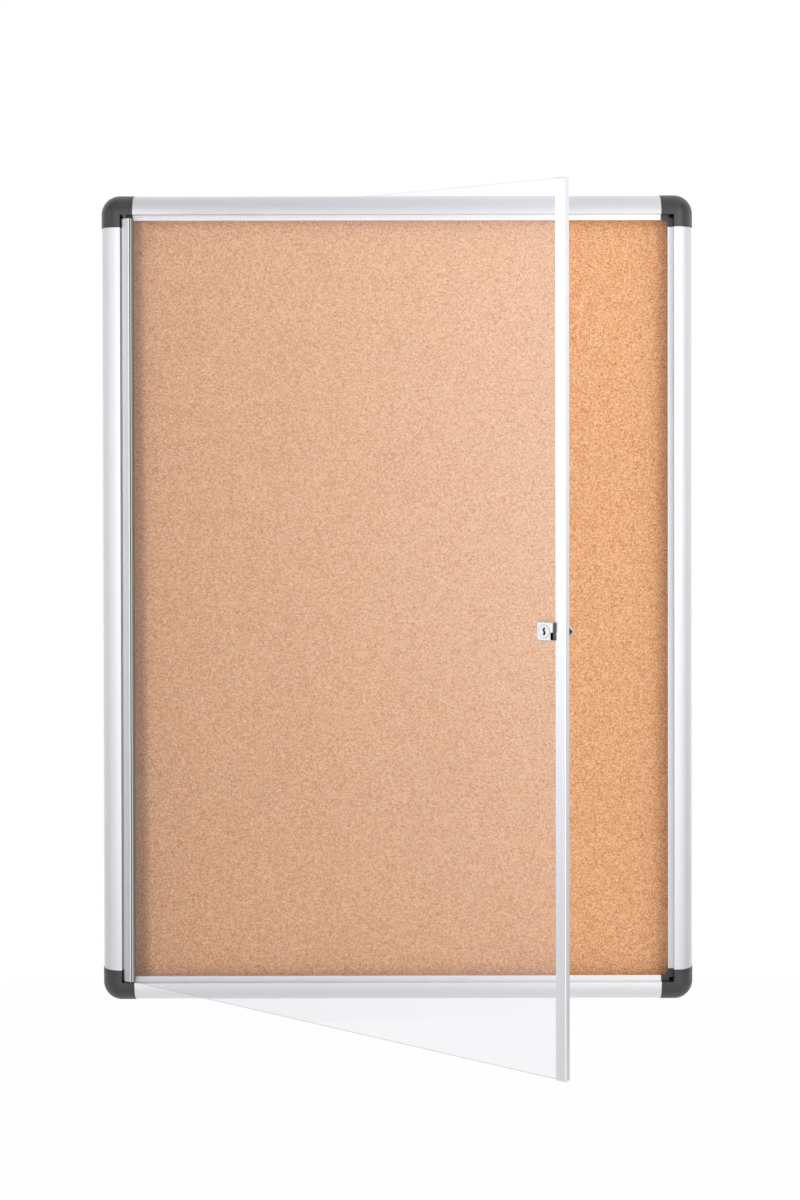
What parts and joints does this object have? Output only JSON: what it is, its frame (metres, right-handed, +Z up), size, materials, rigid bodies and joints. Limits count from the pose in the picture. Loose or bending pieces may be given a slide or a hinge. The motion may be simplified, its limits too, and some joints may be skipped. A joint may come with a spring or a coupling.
{
  "type": "lockable notice board",
  "caption": "Wall-hung cork notice board in an aluminium frame with plastic corner caps and a clear side-hinged door that locks with a cam.",
  "frame": {"origin": "centre of the four wall screw holes, in the flat back plane that lies on the wall", "axes": "+Z up, +X to the right seen from the front, +Y into the wall; the board faces -Y and its door hinge is on the -X side"},
  "size_m": [0.72, 0.4642, 0.981],
  "materials": {
    "frame_aluminium": "satin anodised, drawn lengthwise",
    "corner_cap_plastic": "dark grey, fine moulded texture",
    "corner_bracket_plastic": "dark grey, smooth moulding",
    "screw_steel": "zinc plated",
    "galvanised_back": "galvanised sheet",
    "core_board": "soft fibre board",
    "cork": "fine granulated cork, sanded",
    "bush_plastic": "smooth black bearing plastic",
    "door_aluminium": "satin anodised, drawn lengthwise",
    "clear_acrylic": "clear, polished faces",
    "glazing_strip": "soft clear grey strip",
    "plug_plastic": "dark grey moulding",
    "pin_steel": "drawn rod",
    "lock_seal_rubber": "matt black gasket",
    "lock_chrome": "polished plating",
    "lock_nut_steel": "zinc plated",
    "lock_plug_chrome": "polished plating",
    "wafer_brass": "stamped",
    "cam_steel": "zinc plated, stamped",
    "cam_fastener_steel": "zinc plated"
  },
  "bodies": {
    "frame": {"frame_stile_right": "frame_aluminium", "frame_stile_left": "frame_aluminium", "frame_rail_top": "frame_aluminium", "frame_rail_bottom": "frame_aluminium", "corner_cap_top_right": "corner_cap_plastic", "corner_cap_top_left": "corner_cap_plastic", "corner_cap_bottom_right": "corner_cap_plastic", "corner_cap_bottom_left": "corner_cap_plastic", "corner_bracket_top_right": "corner_bracket_plastic", "corner_bracket_top_left": "corner_bracket_plastic", "corner_bracket_bottom_right": "corner_bracket_plastic", "corner_bracket_bottom_left": "corner_bracket_plastic", "corner_bracket_screws": "screw_steel", "backing_sheet": "galvanised_back", "core_board": "core_board", "cork_sheet": "cork", "hinge_bush_upper": "bush_plastic", "hinge_bush_lower": "bush_plastic"},
    "door": {"hinge_profile": "door_aluminium", "door_pane": "clear_acrylic", "glazing_strip_hinge_side": "glazing_strip", "glazing_strip_lock_side": "glazing_strip", "closing_profile": "door_aluminium", "closing_profile_plug_top": "plug_plastic", "closing_profile_plug_bottom": "plug_plastic", "hinge_pin_lower": "pin_steel", "hinge_pin_upper": "pin_steel", "lock_seal": "lock_seal_rubber", "lock_housing": "lock_chrome", "lock_nut": "lock_nut_steel"},
    "lock": {"lock_plug": "lock_plug_chrome", "lock_wafers": "wafer_brass", "lock_cam": "cam_steel", "cam_washer": "cam_fastener_steel", "cam_screw": "cam_fastener_steel"}
  },
  "joints": [
    {"name": "door_hinge", "type": "hinge", "parent": "frame", "child": "door", "pos_m": [-0.3299, -0.031, 0], "axis": [0, 0, -1], "range_deg": [-40.5, 64.5]},
    {"name": "lock_turn", "type": "hinge", "parent": "door", "child": "lock", "pos_m": [0.15124, -0.45311, -0.003], "axis": [0.6494, 0.7604, 0], "range_deg": [0, 90]}
  ]
}
